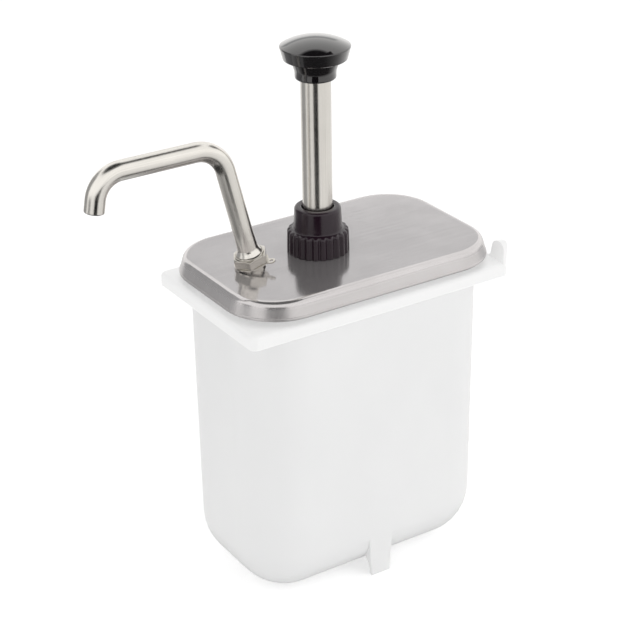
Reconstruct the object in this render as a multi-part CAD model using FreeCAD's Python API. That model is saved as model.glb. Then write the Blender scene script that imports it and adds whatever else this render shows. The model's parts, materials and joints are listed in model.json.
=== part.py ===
"""Condiment pump dispenser: a moulded jar, a pressed steel lid and a lift-out plunger pump.

Millimetres, +Z up.  The origin is the centre of the face that the jar stands on.
+X is the jar's long axis and the spout points along -X.
"""
import FreeCAD, Part
import math
import os

from FreeCAD import Vector as V

# ---------------------------------------------------------------- driving dimensions

# Jar: outside of the body, its wall, and the flange round the mouth.
JAR_HALF_X = 90.7
JAR_HALF_Y = 54.7
JAR_DRAFT = 1.0                # how much smaller each half-size is at the foot
JAR_CORNER = 37.0
JAR_BOTTOM_R = 35.0
JAR_WALL = 2.8
RIM_HALF_X = 97.0
RIM_HALF_Y = 59.0
RIM_CORNER = 4.6
RIM_TOP = 207.0
RIM_HEIGHT = 9.4
RIM_SKIN = 2.6
RIM_EDGE_R = 3.4
LIP_HALF_X = 88.0
LIP_HALF_Y = 53.8
LIP_CORNER = 34.4
LUG_RISE = 12.0                # corner lug above the flange
LUG_THICK = 5.0
LUG_NEAR_Y = -58.4
LUG_FAR_Y = -42.5
FOOT_TIP_WIDTH = 14.4
FOOT_ROOT_WIDTH = 19.5
FOOT_TIP_THICK = 3.2
FOOT_HEIGHT = 38.0
FOOT_FILLET = 12.0

# Lid: a shallow pressed tray with a rolled hem.
LID_HALF_X = 95.0
LID_HALF_Y = 60.8
LID_CORNER = 36.0
LID_BOTTOM = 211.0
LID_HEIGHT = 11.6
LID_FLARE = 3.1                # the skirt widens this much towards the hem
LID_BEND_R = 4.0
LID_SHEET = 0.8
HEM_R = 0.9

# Plunger, knob and locking collar share one vertical axis.
PUMP_X = -12.0
PLUNGER_R = 9.5
PLUNGER_BORE_R = 8.25
KNOB_R = 22.0
KNOB_BAND_R = 19.9
KNOB_NECK_R = 12.9
KNOB_HEAD_NECK_R = 15.0
KNOB_BOTTOM = 336.6
KNOB_BAND_BOTTOM = 349.0
KNOB_EDGE = 357.0
KNOB_TOP = 363.0
COLLAR_R = 20.1
COLLAR_TOP_SKIRT_R = 19.6
COLLAR_SKIRT_TOP = 237.2
COLLAR_TOP = 252.5
SLEEVE_BASE_R = 15.3
SLEEVE_TOP_R = 14.7
FLUTES = 24
FLUTE_R = 1.8
FLUTE_DEPTH = 1.3

# Pump cylinder and what it holds.
CYLINDER_R = 14.9
BORE_R = 13.0
CYLINDER_BOTTOM = 124.0
NECK_TOP = 233.5
FLANGE_R = 19.0
FLANGE_THICK = 3.0
GASKET_THICK = 1.5
RUN_FIT = 0.05                 # radial running clearance
PISTON_R = 12.6
PISTON_BOTTOM = 211.0
PISTON_TOP = 231.0
SPRING_WIRE_R = 0.8
SPRING_MEAN_R = 10.4
SPRING_COILS = 8
WASHER_SEAT_THICK = 1.4

# Valve body at the foot of the cylinder.
VALVE_R = 18.5
VALVE_BOTTOM = 94.0
VALVE_TOP = 134.0
TAIL_R = 12.0
TAIL_BOTTOM = 76.0
CHAMBER_R = 8.0
SEAT_TOP = 102.0
SEAT_THICK = 10.0
SEAT_R = 9.0
SEAT_BORE_R = 4.2
INLET_BALL_R = 6.0
INLET_TRAVEL = 3.0
INTAKE_R = 8.0
INTAKE_BORE_R = 6.0
INTAKE_BOTTOM = 8.0
SCREEN_R = 11.0
SCREEN_BOTTOM = 5.0

# Riser and spout are one tube.  Distances along the leaning riser count from the lid's top.
RISER_X = -60.6
LEAN = math.radians(14.0)
TUBE_R = 6.25
TUBE_BORE_R = 5.25
RUN_Z = 306.8                  # height of the level run's centreline
TOP_BEND_R = 21.0
TIP_BEND_R = 17.5
TIP_BEND_START_X = -147.5
TIP_TURN = math.radians(80.0)
TIP_STRAIGHT = 8.0
TUBE_FOOT_S = -104.5
BOSS_R = 10.5
BOSS_FOOT_S = -126.5
BOSS_TOP_S = -87.5
OUTLET_SEAT_S = -118.5
OUTLET_BORE_R = 3.0
OUTLET_BALL_R = 4.2
OUTLET_TRAVEL = 2.5
NUT_S = 4.2                    # underside of the hexagon nut
NUT_HEIGHT = 6.6
NUT_FLATS = 20.0
WASHER_THICK = 0.9
FLARE_R = 8.2

# Small running gaps between a ball and its seat or stop.
BALL_GAP = 0.22
STOP_GAP = 0.15

LID_TOP = LID_BOTTOM + LID_HEIGHT
LID_UNDER = LID_TOP - LID_SHEET
PUMP = V(PUMP_X, 0, 0)
Z = V(0, 0, 1)
RISER_DIR = V(-math.sin(LEAN), 0, math.cos(LEAN))


# ---------------------------------------------------------------- helpers

def rounded_wire(half_x, half_y, radius, z):
    """A rounded rectangle centred on the origin, as one closed wire."""
    cx = half_x - radius
    cy = half_y - radius
    corners = [(cx, cy, 0), (-cx, cy, 90), (-cx, -cy, 180), (cx, -cy, 270)]
    arcs = []
    for x, y, start in corners:
        circle = Part.Circle(V(x, y, z), Z, radius)
        a = math.radians(start)
        arcs.append(Part.Arc(circle, a, a + math.pi / 2).toShape())
    edges = []
    for here, after in zip(arcs, arcs[1:] + arcs[:1]):
        edges.append(here)
        edges.append(Part.LineSegment(here.lastVertex().Point, after.firstVertex().Point).toShape())
    return Part.Wire(edges)


def rounded_prism(half_x, half_y, radius, z0, z1):
    return Part.Face(rounded_wire(half_x, half_y, radius, z0)).extrude(V(0, 0, z1 - z0))


def rounded_loft(low, high, z0, z1):
    """A drafted block; low and high are (half_x, half_y, radius) at its two ends."""
    return Part.makeLoft([rounded_wire(*low, z0), rounded_wire(*high, z1)], True, True)


def edges_at(shape, z):
    """The edges of a shape that lie wholly at one height."""
    return [e for e in shape.Edges if abs(e.BoundBox.ZMin - z) < 1e-4 and abs(e.BoundBox.ZMax - z) < 1e-4]


def rod(radius, z0, z1, at=PUMP):
    return Part.makeCylinder(radius, z1 - z0, at + V(0, 0, z0))


def ring(outer, inner, z0, z1, at=PUMP):
    return rod(outer, z0, z1, at).cut(rod(inner, z0 - 1, z1 + 1, at))


def riser_point(s):
    """The point on the riser's centreline at distance s above the lid's top face."""
    return V(RISER_X, 0, LID_TOP) + RISER_DIR * s


def riser_rod(radius, s0, s1):
    return Part.makeCylinder(radius, s1 - s0, riser_point(s0), RISER_DIR)


def riser_ring(outer, inner, s0, s1):
    return riser_rod(outer, s0, s1).cut(riser_rod(inner, s0 - 1, s1 + 1))


def turned(profile, at=PUMP):
    """A solid of revolution about the vertical through `at`; profile is (radius, z) pairs."""
    points = [V(r, 0, z) for r, z in profile]
    face = Part.Face(Part.makePolygon(points + points[:1]))
    solid = face.revolve(V(0, 0, 0), Z, 360)
    solid.translate(at)
    return solid


def cross_pin(radius, length, centre):
    """A pin along Y through a point."""
    return Part.makeCylinder(radius, length, centre - V(0, length / 2, 0), V(0, 1, 0))


def hexagon(flats, height, base, axis):
    """A hexagonal bar standing on `base` along `axis`, one pair of corners in the XZ plane."""
    radius = flats / math.sqrt(3)
    points = [V(radius * math.cos(k * math.pi / 3), radius * math.sin(k * math.pi / 3), 0) for k in range(7)]
    bar = Part.Face(Part.makePolygon(points)).extrude(V(0, 0, height))
    bar.Placement = FreeCAD.Placement(base, FreeCAD.Rotation(Z, axis))
    return bar


# ---------------------------------------------------------------- jar

def jar_rim():
    """The flange: a top plate and a turned-down edge, hollow underneath."""
    low = RIM_TOP - RIM_HEIGHT
    rim = rounded_prism(RIM_HALF_X, RIM_HALF_Y, RIM_CORNER, low, RIM_TOP)
    rim = rim.makeFillet(RIM_EDGE_R, edges_at(rim, RIM_TOP))
    inner = rounded_prism(RIM_HALF_X - RIM_SKIN, RIM_HALF_Y - RIM_SKIN, RIM_CORNER - RIM_SKIN,
                          low - 1, RIM_TOP - RIM_SKIN)
    return rim.cut(inner)


def jar_lug():
    """An upstanding ear at the corner that is on the right of the side facing -Y."""
    low = RIM_TOP - RIM_SKIN
    crest = RIM_TOP + LUG_RISE
    radius = 6.0
    x = RIM_HALF_X - LUG_THICK
    near_top = V(x, LUG_NEAR_Y + 1.0, crest - radius)
    over = V(x, LUG_NEAR_Y + 1.0 + radius, crest)
    slope = V(x, LUG_NEAR_Y + 1.0 + radius * 1.85, crest - radius * 0.62)
    ankle = V(x, LUG_FAR_Y, RIM_TOP + 0.6)
    near_low = V(x, LUG_NEAR_Y, low)
    far_low = V(x, LUG_FAR_Y + 1.6, low)
    slant = radius * math.sin(math.pi / 4)
    bulge = V(x, near_top.y + radius - slant, near_top.z + slant)
    edges = [
        Part.LineSegment(near_low, near_top).toShape(),
        Part.Arc(near_top, bulge, over).toShape(),
        Part.Arc(over, V(x, over.y + radius * 0.55, crest - radius * 0.14), slope).toShape(),
        Part.Arc(slope, V(x, (slope.y + ankle.y) / 2 - 0.5, (slope.z + ankle.z) / 2 - 0.6), ankle).toShape(),
        Part.LineSegment(ankle, far_low).toShape(),
        Part.LineSegment(far_low, near_low).toShape(),
    ]
    lug = Part.Face(Part.Wire(edges)).extrude(V(LUG_THICK, 0, 0))
    keep_clear = rounded_prism(LID_HALF_X + 0.8, LID_HALF_Y + 0.8, LID_CORNER, RIM_TOP, crest + 1)
    within = rounded_prism(RIM_HALF_X, RIM_HALF_Y, RIM_CORNER, low, crest + 1)
    return lug.cut(keep_clear).common(within)


def jar_foot(side):
    """A tapered leg flush with one long wall, reaching down past the rounded bottom."""
    wall = JAR_HALF_Y - JAR_DRAFT
    inner = wall - FOOT_TIP_THICK
    reach = inner - FOOT_FILLET
    p = [V(0, wall, FOOT_HEIGHT), V(0, wall, 0), V(0, inner, 0), V(0, inner, 1.5),
         V(0, reach, FOOT_FILLET + 1.5), V(0, reach, FOOT_HEIGHT)]
    mid = V(0, reach + FOOT_FILLET * math.cos(math.pi / 4), 1.5 + FOOT_FILLET * math.sin(math.pi / 4))
    edges = [Part.LineSegment(a, b).toShape() for a, b in zip(p[:3], p[1:4])]
    edges.append(Part.Arc(p[3], mid, p[4]).toShape())
    edges += [Part.LineSegment(a, b).toShape() for a, b in zip(p[4:], p[5:] + p[:1])]
    width = FOOT_ROOT_WIDTH
    leg = Part.Face(Part.Wire(edges)).extrude(V(width, 0, 0))
    leg.translate(V(-width / 2, 0, 0))
    half_tip = FOOT_TIP_WIDTH / 2
    half_root = FOOT_ROOT_WIDTH / 2
    taper = [V(-half_tip, 0, 0), V(half_tip, 0, 0),
             V(half_root, 0, FOOT_HEIGHT), V(-half_root, 0, FOOT_HEIGHT)]
    wedge = Part.Face(Part.makePolygon(taper + taper[:1])).extrude(V(0, JAR_HALF_Y + 5, 0))
    leg = leg.common(wedge)
    if side < 0:
        leg = leg.mirror(V(0, 0, 0), V(0, 1, 0))
    return leg


def jar():
    top = (JAR_HALF_X, JAR_HALF_Y, JAR_CORNER)
    foot = tuple(v - JAR_DRAFT for v in top)
    body = rounded_loft(foot, top, 0, RIM_TOP)
    body = body.makeFillet(JAR_BOTTOM_R, edges_at(body, 0))
    cavity_top = RIM_TOP - RIM_SKIN
    cavity = rounded_loft(tuple(v - JAR_WALL for v in foot), tuple(v - JAR_WALL for v in top),
                          JAR_WALL, cavity_top)
    cavity = cavity.makeFillet(JAR_BOTTOM_R - JAR_WALL, edges_at(cavity, JAR_WALL))
    lip = rounded_prism(LIP_HALF_X, LIP_HALF_Y, LIP_CORNER, RIM_TOP - RIM_SKIN, LID_UNDER)
    mouth = rounded_prism(LIP_HALF_X - JAR_WALL, LIP_HALF_Y - JAR_WALL, LIP_CORNER - JAR_WALL,
                          cavity_top - 0.5, LID_UNDER + 1)
    outside = body.fuse([jar_rim(), lip, jar_lug(), jar_foot(-1), jar_foot(1)])
    return outside.cut(cavity).cut(mouth)


# ---------------------------------------------------------------- lid

def lid():
    """Flared skirt, rounded shoulder, flat top, rolled hem, and holes for the pump and the riser."""
    outer_low = (LID_HALF_X, LID_HALF_Y, LID_CORNER)
    outer_high = tuple(v - LID_FLARE for v in outer_low)
    outside = rounded_loft(outer_low, outer_high, LID_BOTTOM, LID_TOP)
    outside = outside.makeFillet(LID_BEND_R, edges_at(outside, LID_TOP))
    inner_low = tuple(v - LID_SHEET for v in outer_low)
    inner_high = tuple(v - LID_SHEET for v in outer_high)
    inside = rounded_loft(inner_low, inner_high, LID_BOTTOM, LID_UNDER)
    inside = inside.makeFillet(LID_BEND_R - LID_SHEET, edges_at(inside, LID_UNDER))
    shell = outside.cut(inside)
    inset = HEM_R
    outer = rounded_prism(LID_HALF_X, LID_HALF_Y, LID_CORNER, LID_BOTTOM, LID_BOTTOM + 2 * HEM_R)
    core = rounded_prism(LID_HALF_X - 2 * inset, LID_HALF_Y - 2 * inset, LID_CORNER - 2 * inset,
                         LID_BOTTOM - 1, LID_BOTTOM + 2 * HEM_R + 1)
    hem = outer.cut(core)
    hem = hem.makeFillet(HEM_R * 0.8, edges_at(hem, LID_BOTTOM) + edges_at(hem, LID_BOTTOM + 2 * HEM_R))
    holes = [rod(CYLINDER_R + 0.5, LID_BOTTOM, LID_TOP + 5), riser_rod(TUBE_R + 1.0, -12, 6)]
    return shell.fuse(hem).cut(holes)


# ---------------------------------------------------------------- plunger

def knob():
    """A mushroom knob: shallow dome, tapered band and a hollow-waisted neck."""
    z0 = KNOB_BOTTOM
    inside = V(0, 0, z0)
    heel = V(KNOB_NECK_R - 1.4, 0, z0)
    heel_mid = V(KNOB_NECK_R - 0.35, 0, z0 + 0.45)
    heel_top = V(KNOB_NECK_R, 0, z0 + 1.5)
    waist = V(KNOB_NECK_R + 0.2, 0, z0 + 5.0)
    neck_top = V(KNOB_HEAD_NECK_R, 0, KNOB_BAND_BOTTOM - 3.2)
    band_under = V(KNOB_BAND_R - 0.8, 0, KNOB_BAND_BOTTOM - 0.3)
    band_low = V(KNOB_BAND_R, 0, KNOB_BAND_BOTTOM + 0.5)
    edge = V(KNOB_R, 0, KNOB_EDGE - 0.5)
    edge_mid = V(KNOB_R - 0.12, 0, KNOB_EDGE + 0.12)
    rim = V(KNOB_R - 0.5, 0, KNOB_EDGE + 0.4)
    crown = KNOB_TOP - rim.z
    dome_r = (rim.x ** 2 + crown ** 2) / (2 * crown)
    half = math.asin(rim.x / dome_r) / 2
    dome_mid = V(dome_r * math.sin(half), 0, KNOB_TOP - dome_r + dome_r * math.cos(half))
    top = V(0, 0, KNOB_TOP)
    curves = [Part.LineSegment(inside, heel), Part.Arc(heel, heel_mid, heel_top),
              Part.Arc(heel_top, waist, neck_top), Part.LineSegment(neck_top, band_under),
              Part.LineSegment(band_under, band_low), Part.LineSegment(band_low, edge),
              Part.Arc(edge, edge_mid, rim), Part.Arc(rim, dome_mid, top), Part.LineSegment(top, inside)]
    edges = [curve.toShape() for curve in curves]
    body = Part.Face(Part.Wire(edges)).revolve(V(0, 0, 0), Z, 360)
    body.translate(PUMP)
    return body.cut([rod(PLUNGER_R, z0 - 1, z0 + 6), rod(4.0, z0, z0 + 18)])


def knob_insert():
    """The threaded plug in the tube's top end and the stud that the knob screws on to."""
    top = KNOB_BOTTOM + 6
    return rod(PLUNGER_BORE_R, top - 20, top).fuse(rod(4.0, top, top + 12))


def plunger_tube():
    return ring(PLUNGER_R, PLUNGER_BORE_R, PISTON_TOP, KNOB_BOTTOM + 6)


def bumper_ring():
    """The rubber ring that lands on the guide bush at the top of the stroke."""
    return ring(PISTON_R - 0.3, PLUNGER_R, PISTON_TOP, NECK_TOP - STOP_GAP)


SEAL_HEIGHTS = (PISTON_BOTTOM + 5.0, PISTON_BOTTOM + 14.0)
SEAL_WIRE_R = 1.42
GROOVE_FLOOR_R = BORE_R - RUN_FIT / 2 - 2 * SEAL_WIRE_R


def piston():
    body = rod(PISTON_R, PISTON_BOTTOM, PISTON_TOP).fuse(rod(PLUNGER_BORE_R, PISTON_TOP, PISTON_TOP + 15))
    for z in SEAL_HEIGHTS:
        body = body.cut(ring(PISTON_R + 1, GROOVE_FLOOR_R, z - SEAL_WIRE_R - 0.1, z + SEAL_WIRE_R + 0.1))
    return body.cut(rod(3.0, PISTON_BOTTOM - 1, PISTON_TOP + 12))


def piston_seals():
    """Two O-rings that run on the cylinder's bore."""
    major = BORE_R - RUN_FIT / 2 - SEAL_WIRE_R
    return Part.makeCompound([Part.makeTorus(major, SEAL_WIRE_R, PUMP + V(0, 0, z)) for z in SEAL_HEIGHTS])


def piston_screw():
    """A socket-head screw that draws the piston against the tube."""
    head = rod(5.5, PISTON_BOTTOM - 4, PISTON_BOTTOM)
    socket = hexagon(5.0, 2.6, PUMP + V(0, 0, PISTON_BOTTOM - 4), Z)
    return head.fuse(rod(3.0, PISTON_BOTTOM, PISTON_TOP + 12)).cut(socket)


def spring_washer():
    return ring(PISTON_R - 0.3, 5.8, PISTON_BOTTOM - WASHER_SEAT_THICK, PISTON_BOTTOM)


def return_spring():
    """A helical spring, ground flat at both ends, from the valve body to the washer under the piston."""
    length = PISTON_BOTTOM - WASHER_SEAT_THICK - CYLINDER_BOTTOM
    helix = Part.makeHelix(length / SPRING_COILS, length, SPRING_MEAN_R)
    section = Part.Wire(Part.Circle(V(SPRING_MEAN_R, 0, 0), V(0, 1, 0), SPRING_WIRE_R).toShape())
    spring = Part.Wire(helix).makePipeShell([section], True, True)
    reach = 2 * SPRING_MEAN_R
    below = Part.makeBox(2 * reach, 2 * reach, reach, V(-reach, -reach, -reach))
    above = Part.makeBox(2 * reach, 2 * reach, reach, V(-reach, -reach, length))
    spring = spring.cut([below, above])
    spring.translate(PUMP + V(0, 0, CYLINDER_BOTTOM))
    return spring


# ---------------------------------------------------------------- collar, bush and cylinder

BUSH_FLANGE = 1.5
BUSH_R = 11.8
BUSH_TOP = 247.5
WIPER_TOP = 250.5


def locking_collar():
    """A fluted clamping nut with a plain sleeve above it that holds the bush."""
    skirt = turned([(0, LID_TOP), (COLLAR_R, LID_TOP), (COLLAR_TOP_SKIRT_R, COLLAR_SKIRT_TOP - 1.6),
                    (COLLAR_TOP_SKIRT_R - 1.6, COLLAR_SKIRT_TOP), (0, COLLAR_SKIRT_TOP)])
    for k in range(FLUTES):
        angle = 2 * math.pi * k / FLUTES
        axis = PUMP + V(math.cos(angle), math.sin(angle), 0) * (COLLAR_R + FLUTE_R - FLUTE_DEPTH)
        skirt = skirt.cut(rod(FLUTE_R, LID_TOP - 1, COLLAR_SKIRT_TOP + 1, axis))
    sleeve = turned([(0, COLLAR_SKIRT_TOP - 3), (SLEEVE_BASE_R + 1.5, COLLAR_SKIRT_TOP - 3),
                     (SLEEVE_BASE_R + 1.2, COLLAR_SKIRT_TOP), (SLEEVE_BASE_R, COLLAR_SKIRT_TOP + 1.2),
                     (SLEEVE_TOP_R, COLLAR_TOP - 1.0), (SLEEVE_TOP_R - 1.0, COLLAR_TOP), (0, COLLAR_TOP)])
    shoulder = NECK_TOP + BUSH_FLANGE
    bores = [rod(CYLINDER_R + 0.1, LID_TOP - 1, shoulder), rod(BUSH_R, shoulder - 0.5, WIPER_TOP),
             rod(PLUNGER_R + 0.6, WIPER_TOP - 0.5, COLLAR_TOP + 1)]
    return skirt.fuse(sleeve).cut(bores)


def guide_bush():
    """The bearing that the plunger slides in, clamped by its flange on top of the cylinder's neck."""
    flange = ring(CYLINDER_R, PLUNGER_R + RUN_FIT, NECK_TOP, NECK_TOP + BUSH_FLANGE)
    return flange.fuse(ring(BUSH_R, PLUNGER_R + RUN_FIT, NECK_TOP, BUSH_TOP))


def wiper_seal():
    return ring(BUSH_R, PLUNGER_R + RUN_FIT, BUSH_TOP, WIPER_TOP)


def lid_gasket():
    return ring(FLANGE_R, CYLINDER_R + 0.2, LID_UNDER - GASKET_THICK, LID_UNDER)


def pump_cylinder():
    flange_top = LID_UNDER - GASKET_THICK
    return ring(CYLINDER_R, BORE_R, CYLINDER_BOTTOM, NECK_TOP).fuse(
        ring(FLANGE_R, BORE_R, flange_top - FLANGE_THICK, flange_top))


# ---------------------------------------------------------------- valve body

CROSS_HOLE_Z = 106.0
CROSS_HOLE_R = 2.6
VALVE_SEAL_R = 0.9
VALVE_SEAL_Z = CYLINDER_BOTTOM + 3
SEAL_S = -91.5
RISER_SEAL_R = 1.3
OUTLET_PIN_R = 0.8
INLET_PIN_R = 1.2


def inlet_ball_centre():
    """The ball rests a hair above a 45 degree seat whose foot has the seat's bore radius."""
    cone_foot = SEAT_TOP - 3.0
    return PUMP + V(0, 0, cone_foot - SEAT_BORE_R + (INLET_BALL_R + BALL_GAP) * math.sqrt(2))


def outlet_ball_s():
    return OUTLET_SEAT_S - OUTLET_BORE_R + (OUTLET_BALL_R + BALL_GAP) * math.sqrt(2)


def riser_cone(radius0, radius1, s0, s1):
    return Part.makeCone(radius0, radius1, s1 - s0, riser_point(s0), RISER_DIR)


def outlet_bores():
    """The leaning bores in the boss: cavity, ball seat, ball chamber, tube socket and seal groove."""
    chamber_r = OUTLET_BORE_R + 2.4
    return [riser_rod(OUTLET_BORE_R, BOSS_FOOT_S + 4, OUTLET_SEAT_S + 0.1),
            riser_cone(OUTLET_BORE_R, chamber_r, OUTLET_SEAT_S, OUTLET_SEAT_S + 2.4),
            riser_rod(chamber_r, OUTLET_SEAT_S + 2.3, TUBE_FOOT_S + 0.1),
            riser_rod(TUBE_R, TUBE_FOOT_S, BOSS_TOP_S + 5),
            riser_rod(TUBE_R + 2 * RISER_SEAL_R, SEAL_S - RISER_SEAL_R - 0.1, SEAL_S + RISER_SEAL_R + 0.1)]


def outlet_pin_s():
    return outlet_ball_s() + OUTLET_BALL_R + OUTLET_TRAVEL + STOP_GAP + OUTLET_PIN_R


def inlet_pin_centre():
    return inlet_ball_centre() + V(0, 0, INLET_BALL_R + INLET_TRAVEL + STOP_GAP + INLET_PIN_R)


def valve_body():
    """The lower housing: cylinder socket, valve chamber, intake socket and the leaning riser boss."""
    body = rod(VALVE_R, VALVE_BOTTOM, VALVE_TOP).fuse(rod(TAIL_R, TAIL_BOTTOM, VALVE_BOTTOM))
    body = body.fuse(riser_rod(BOSS_R, BOSS_FOOT_S, BOSS_TOP_S))
    seat_bottom = SEAT_TOP - SEAT_THICK
    bores = [rod(CYLINDER_R + 0.02, CYLINDER_BOTTOM, VALVE_TOP + 12),
             rod(CHAMBER_R, SEAT_TOP - 1, CYLINDER_BOTTOM + 1),
             rod(SEAT_R, seat_bottom, SEAT_TOP),
             rod(INTAKE_R, TAIL_BOTTOM - 1, seat_bottom + 0.5)]
    to_riser = PUMP_X - riser_point((CROSS_HOLE_Z - LID_TOP) / math.cos(LEAN)).x
    bores.append(Part.makeCylinder(CROSS_HOLE_R, to_riser, PUMP + V(0, 0, CROSS_HOLE_Z), V(-1, 0, 0)))
    bores += outlet_bores()
    groove_r = CYLINDER_R + 2 * VALVE_SEAL_R
    bores.append(rod(groove_r, VALVE_SEAL_Z - VALVE_SEAL_R - 0.1, VALVE_SEAL_Z + VALVE_SEAL_R + 0.1))
    bores.append(cross_pin(INLET_PIN_R, 2 * CHAMBER_R + 8, inlet_pin_centre()))
    bores.append(cross_pin(OUTLET_PIN_R, 2 * BOSS_R - 4, riser_point(outlet_pin_s())))
    return body.cut(bores)


def valve_seal():
    """The O-ring in a groove of the socket, round the cylinder's end."""
    return Part.makeTorus(CYLINDER_R + VALVE_SEAL_R, VALVE_SEAL_R, PUMP + V(0, 0, VALVE_SEAL_Z))


def inlet_seat():
    seat_bottom = SEAT_TOP - SEAT_THICK
    cone = Part.makeCone(SEAT_BORE_R, SEAT_BORE_R + 3.0, 3.0, PUMP + V(0, 0, SEAT_TOP - 3.0))
    return rod(SEAT_R, seat_bottom, SEAT_TOP).cut([rod(SEAT_BORE_R, seat_bottom - 1, SEAT_TOP), cone])


def inlet_ball():
    return Part.makeSphere(INLET_BALL_R, inlet_ball_centre())


def inlet_pin():
    return cross_pin(INLET_PIN_R, 2 * CHAMBER_R + 8, inlet_pin_centre())


def outlet_ball():
    return Part.makeSphere(OUTLET_BALL_R, riser_point(outlet_ball_s()))


def outlet_pin():
    return cross_pin(OUTLET_PIN_R, 2 * BOSS_R - 4, riser_point(outlet_pin_s()))


def intake_tube():
    return ring(INTAKE_R, INTAKE_BORE_R, INTAKE_BOTTOM, SEAT_TOP - SEAT_THICK)


def intake_screen():
    """A slotted foot that keeps lumps out of the intake."""
    body = rod(SCREEN_R, SCREEN_BOTTOM, SCREEN_BOTTOM + 15)
    body = body.cut([rod(INTAKE_R, INTAKE_BOTTOM, SCREEN_BOTTOM + 20),
                     rod(INTAKE_BORE_R, SCREEN_BOTTOM - 1, INTAKE_BOTTOM + 1)])
    slots = 6
    for k in range(slots):
        slot = Part.makeBox(2 * SCREEN_R, 3.0, 2.4, V(0, -1.5, SCREEN_BOTTOM - 1))
        slot.rotate(V(0, 0, 0), Z, 360.0 * k / slots)
        slot.translate(PUMP)
        body = body.cut(slot)
    return body


# ---------------------------------------------------------------- riser and spout

def spout_path():
    """The tube's centreline: leaning riser, top bend, level run, tip bend and a short end."""
    corner_s = (RUN_Z - LID_TOP) / math.cos(LEAN)
    corner = riser_point(corner_s)
    turn = math.pi / 2 - LEAN
    tangent = TOP_BEND_R * math.tan(turn / 2)
    bend_in = corner - RISER_DIR * tangent
    bend_out = corner + V(-tangent, 0, 0)
    to_corner = (bend_in + bend_out) * 0.5 - corner
    centre_distance = TOP_BEND_R / math.cos(turn / 2)
    bend_mid = corner + to_corner.normalize() * (centre_distance - TOP_BEND_R)
    tip_start = V(TIP_BEND_START_X, 0, RUN_Z)
    centre = tip_start - V(0, 0, TIP_BEND_R)

    def on_tip(angle):
        return centre + V(-math.sin(angle), 0, math.cos(angle)) * TIP_BEND_R

    tip_end = on_tip(TIP_TURN)
    direction = V(-math.cos(TIP_TURN), 0, -math.sin(TIP_TURN))
    edges = [
        Part.LineSegment(riser_point(TUBE_FOOT_S), bend_in).toShape(),
        Part.Arc(bend_in, bend_mid, bend_out).toShape(),
        Part.LineSegment(bend_out, tip_start).toShape(),
        Part.Arc(tip_start, on_tip(TIP_TURN / 2), tip_end).toShape(),
        Part.LineSegment(tip_end, tip_end + direction * TIP_STRAIGHT).toShape(),
    ]
    return Part.Wire(edges), tip_end + direction * TIP_STRAIGHT, direction


def swept(path, radius):
    section = Part.Wire(Part.Circle(riser_point(TUBE_FOOT_S), RISER_DIR, radius).toShape())
    return path.makePipeShell([section], True, False)


def spout_tube():
    path, end, direction = spout_path()
    flare_s = NUT_S + NUT_HEIGHT
    flare = riser_rod(FLARE_R, flare_s - 3.0, flare_s)
    flare = flare.fuse(riser_cone(FLARE_R, TUBE_R, flare_s, flare_s + 5.0))
    outside = swept(path, TUBE_R).fuse(flare)
    tip_edges = [e for e in outside.Edges if (e.BoundBox.Center - end).Length < 0.6]
    outside = outside.makeFillet(0.6, tip_edges)
    return outside.cut(swept(path, TUBE_BORE_R))


def riser_seal():
    seal = Part.makeTorus(TUBE_R + RISER_SEAL_R, RISER_SEAL_R, V(0, 0, 0))
    seal.Placement = FreeCAD.Placement(riser_point(SEAL_S), FreeCAD.Rotation(Z, RISER_DIR))
    return seal


def riser_gland():
    """The ring nut that closes the boss round the riser."""
    return riser_ring(8.2, TUBE_R, BOSS_TOP_S, BOSS_TOP_S + 8)


def spout_nut():
    """A chamfered hexagon nut, square to the leaning riser."""
    bar = hexagon(NUT_FLATS, NUT_HEIGHT, riser_point(NUT_S), RISER_DIR)
    across = NUT_FLATS / math.sqrt(3)
    top = NUT_S + NUT_HEIGHT
    chamfers = riser_cone(across - 0.9, across + 2.6, NUT_S, NUT_S + 3.5)
    chamfers = chamfers.fuse(riser_cone(across + 2.6, across - 0.9, NUT_S + 3.5, top + 0.4))
    bar = bar.common(chamfers)
    return bar.cut([riser_rod(TUBE_R, NUT_S - 1, NUT_S + NUT_HEIGHT),
                    riser_rod(FLARE_R, NUT_S + NUT_HEIGHT - 3.0, NUT_S + NUT_HEIGHT + 2)])


def lug_washer():
    """A washer with one small drilled lug beside the nut."""
    outer = 11.0
    lug_angle = math.radians(-50.0)
    local = rod(outer, 0, WASHER_THICK, V(0, 0, 0))
    hole_at = V(math.cos(lug_angle), math.sin(lug_angle), 0) * 13.4
    local = local.fuse(rod(2.5, 0, WASHER_THICK, hole_at))
    neck = Part.makeBox(13.4, 5.0, WASHER_THICK, V(0, -2.5, 0))
    neck.rotate(V(0, 0, 0), Z, math.degrees(lug_angle))
    local = local.fuse(neck).cut([rod(1.2, -1, 2, hole_at), rod(TUBE_R, -1, 2, V(0, 0, 0))])
    local.Placement = FreeCAD.Placement(riser_point(NUT_S - WASHER_THICK), FreeCAD.Rotation(Z, RISER_DIR))
    return local


def wedge_washer():
    """The tapered washer that fills the angle between the flat lid and the leaning nut."""
    column = riser_ring(8.8, TUBE_R, -12, NUT_S - WASHER_THICK)
    below = Part.makeBox(60, 60, 40, V(RISER_X - 30, -30, LID_TOP - 40))
    return column.cut(below)


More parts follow.
